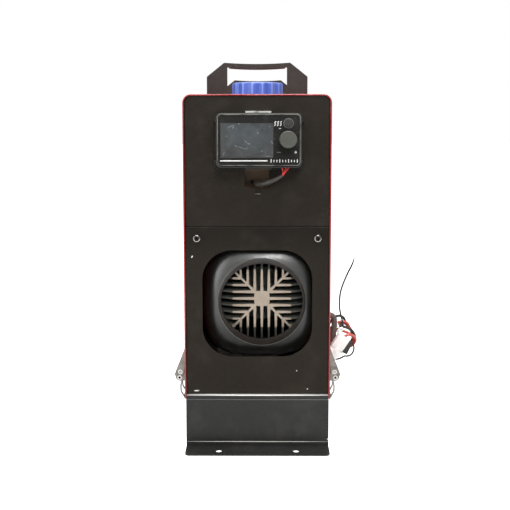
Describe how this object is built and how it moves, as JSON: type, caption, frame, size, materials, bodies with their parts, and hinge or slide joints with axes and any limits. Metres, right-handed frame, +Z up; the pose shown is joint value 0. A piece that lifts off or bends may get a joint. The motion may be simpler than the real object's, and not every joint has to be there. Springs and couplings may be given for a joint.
{
  "type": "portable diesel air heater",
  "caption": "Portable diesel air heater: upright red sheet case on a black base, with carrying handles, fuel cap, controller, round hot-air outlet and side latches.",
  "frame": {"origin": "on the floor, at the centre of the four mounting holes of the base", "axes": "+X to the right seen from the front, +Y to the back, +Z up; the outlet and the controller face -Y"},
  "size_m": [0.2029, 0.39, 0.3873],
  "materials": {
    "red_paint": "gloss powder coat",
    "panel_paint": "semi-gloss powder coat",
    "base_paint": "satin powder coat",
    "handle_paint": "fine textured powder coat",
    "zinc_sheet": "bright zinc plate",
    "steel": "plain steel",
    "black_screw": "black zinc plate",
    "cast_aluminium": "as cast, warm grey",
    "black_plastic": "satin moulded plastic",
    "controller_plastic": "fine textured plastic",
    "knob_plastic": "matte grey-black plastic",
    "display": "dusty clear plastic over a dark display",
    "circuit_board": "solder resist",
    "blue_plastic": "satin moulded plastic",
    "tank_plastic": "milky moulded plastic",
    "white_plastic": "white moulded plastic",
    "rubber": "black rubber",
    "cable_black": "satin cable jacket",
    "cable_red": "red wire insulation"
  },
  "bodies": {
    "case": {"base_tray": "base_paint", "case_floor": "base_paint", "outer_shell": "red_paint", "front_upper_panel": "panel_paint", "front_lower_panel": "panel_paint", "rear_panel": "panel_paint", "tank_shelf": "zinc_sheet", "front_handle": "handle_paint", "rear_handle": "handle_paint", "case_screws": "black_screw", "fuel_tank": "tank_plastic", "filler_grommet": "rubber", "tank_hose": "rubber", "pump_hose": "rubber", "fuel_pump": "zinc_sheet", "heater_upper_casing": "black_plastic", "heater_lower_casing": "black_plastic", "outlet_shroud": "black_plastic", "inlet_grille": "black_plastic", "heat_exchanger": "cast_aluminium", "burner_tube": "steel", "blower_housing": "cast_aluminium", "glow_plug": "steel", "fan_motor": "steel", "heater_ecu": "black_plastic", "heater_bracket": "zinc_sheet", "exhaust_pipe": "steel", "intake_pipe": "steel", "controller_bracket": "zinc_sheet", "controller_back": "controller_plastic", "controller_front": "controller_plastic", "display_window": "display", "controller_board": "circuit_board", "controller_lead": "cable_black", "latch_brackets": "zinc_sheet", "latch_rivets": "zinc_sheet", "latch_catches": "zinc_sheet", "lead_gland": "cable_black", "lead_sheath": "cable_black", "wire_coil": "cable_red", "white_connector": "white_plastic", "fuse_holder": "cable_black", "cable_tie": "white_plastic", "antenna_wire": "cable_black"},
    "cap_carrier": {"cap_seal": "rubber"},
    "cap": {"fuel_cap": "blue_plastic"},
    "encoder": {"encoder_shaft": "steel"},
    "knob": {"control_knob": "knob_plastic"},
    "button": {"ok_button": "controller_plastic"},
    "fan": {"fan_shaft": "steel", "blower_wheel": "black_plastic", "fan_wheel": "black_plastic"},
    "lever_right_front": {"latch_lever_right_front": "zinc_sheet"},
    "bail_right_front": {"latch_bail_right_front": "steel"},
    "lever_left_front": {"latch_lever_left_front": "zinc_sheet"},
    "bail_left_front": {"latch_bail_left_front": "steel"},
    "lever_right_rear": {"latch_lever_right_rear": "zinc_sheet"},
    "bail_right_rear": {"latch_bail_right_rear": "steel"},
    "lever_left_rear": {"latch_lever_left_rear": "zinc_sheet"},
    "bail_left_rear": {"latch_bail_left_rear": "steel"}
  },
  "joints": [
    {"name": "cap_rise", "type": "slide", "parent": "case", "child": "cap_carrier", "axis": [0, 0, 1], "range_m": [0, 0.0091]},
    {"name": "cap_turn", "type": "hinge", "parent": "cap_carrier", "child": "cap", "pos_m": [0, -0.017, 0.366], "axis": [0, 0, 1], "range_deg": [0, 540]},
    {"name": "knob_push", "type": "slide", "parent": "case", "child": "encoder", "axis": [0, 1, 0], "range_m": [0, 0.0005], "stiffness_N_per_m": 900},
    {"name": "knob_turn", "type": "hinge", "parent": "encoder", "child": "knob", "pos_m": [0.029, -0.198, 0.3122], "axis": [0, 1, 0], "continuous": true},
    {"name": "ok_press", "type": "slide", "parent": "case", "child": "button", "axis": [0, 1, 0], "range_m": [0, 0.0006], "stiffness_N_per_m": 900},
    {"name": "fan_spin", "type": "hinge", "parent": "case", "child": "fan", "pos_m": [0.0046, 0.08, 0.148], "axis": [0, 1, 0], "continuous": true},
    {"name": "lever_swing_right_front", "type": "hinge", "parent": "case", "child": "lever_right_front", "pos_m": [0.0815, -0.127, 0.0619], "axis": [0, 1, 0], "range_deg": [0, 150]},
    {"name": "bail_swing_right_front", "type": "hinge", "parent": "lever_right_front", "child": "bail_right_front", "pos_m": [0.0807, -0.127, 0.0676], "axis": [0, 1, 0], "range_deg": [-161, 0]},
    {"name": "lever_swing_left_front", "type": "hinge", "parent": "case", "child": "lever_left_front", "pos_m": [-0.0815, -0.127, 0.0619], "axis": [0, -1, 0], "range_deg": [0, 150]},
    {"name": "bail_swing_left_front", "type": "hinge", "parent": "lever_left_front", "child": "bail_left_front", "pos_m": [-0.0807, -0.127, 0.0676], "axis": [0, -1, 0], "range_deg": [-161, 0]},
    {"name": "lever_swing_right_rear", "type": "hinge", "parent": "case", "child": "lever_right_rear", "pos_m": [0.0815, 0.127, 0.0619], "axis": [0, 1, 0], "range_deg": [0, 150]},
    {"name": "bail_swing_right_rear", "type": "hinge", "parent": "lever_right_rear", "child": "bail_right_rear", "pos_m": [0.0807, 0.127, 0.0676], "axis": [0, 1, 0], "range_deg": [-161, 0]},
    {"name": "lever_swing_left_rear", "type": "hinge", "parent": "case", "child": "lever_left_rear", "pos_m": [-0.0815, 0.127, 0.0619], "axis": [0, -1, 0], "range_deg": [0, 150]},
    {"name": "bail_swing_left_rear", "type": "hinge", "parent": "lever_left_rear", "child": "bail_left_rear", "pos_m": [-0.0807, 0.127, 0.0676], "axis": [0, -1, 0], "range_deg": [-161, 0]}
  ],
  "couplings": [
    {"joint": "cap_rise", "follows": "cap_turn", "m_per_rad": 0.00095493},
    {"joint": "bail_swing_right_front", "follows": "lever_swing_right_front", "ratio": -1.067},
    {"joint": "bail_swing_left_front", "follows": "lever_swing_left_front", "ratio": -1.067},
    {"joint": "bail_swing_right_rear", "follows": "lever_swing_right_rear", "ratio": -1.067},
    {"joint": "bail_swing_left_rear", "follows": "lever_swing_left_rear", "ratio": -1.067}
  ]
}
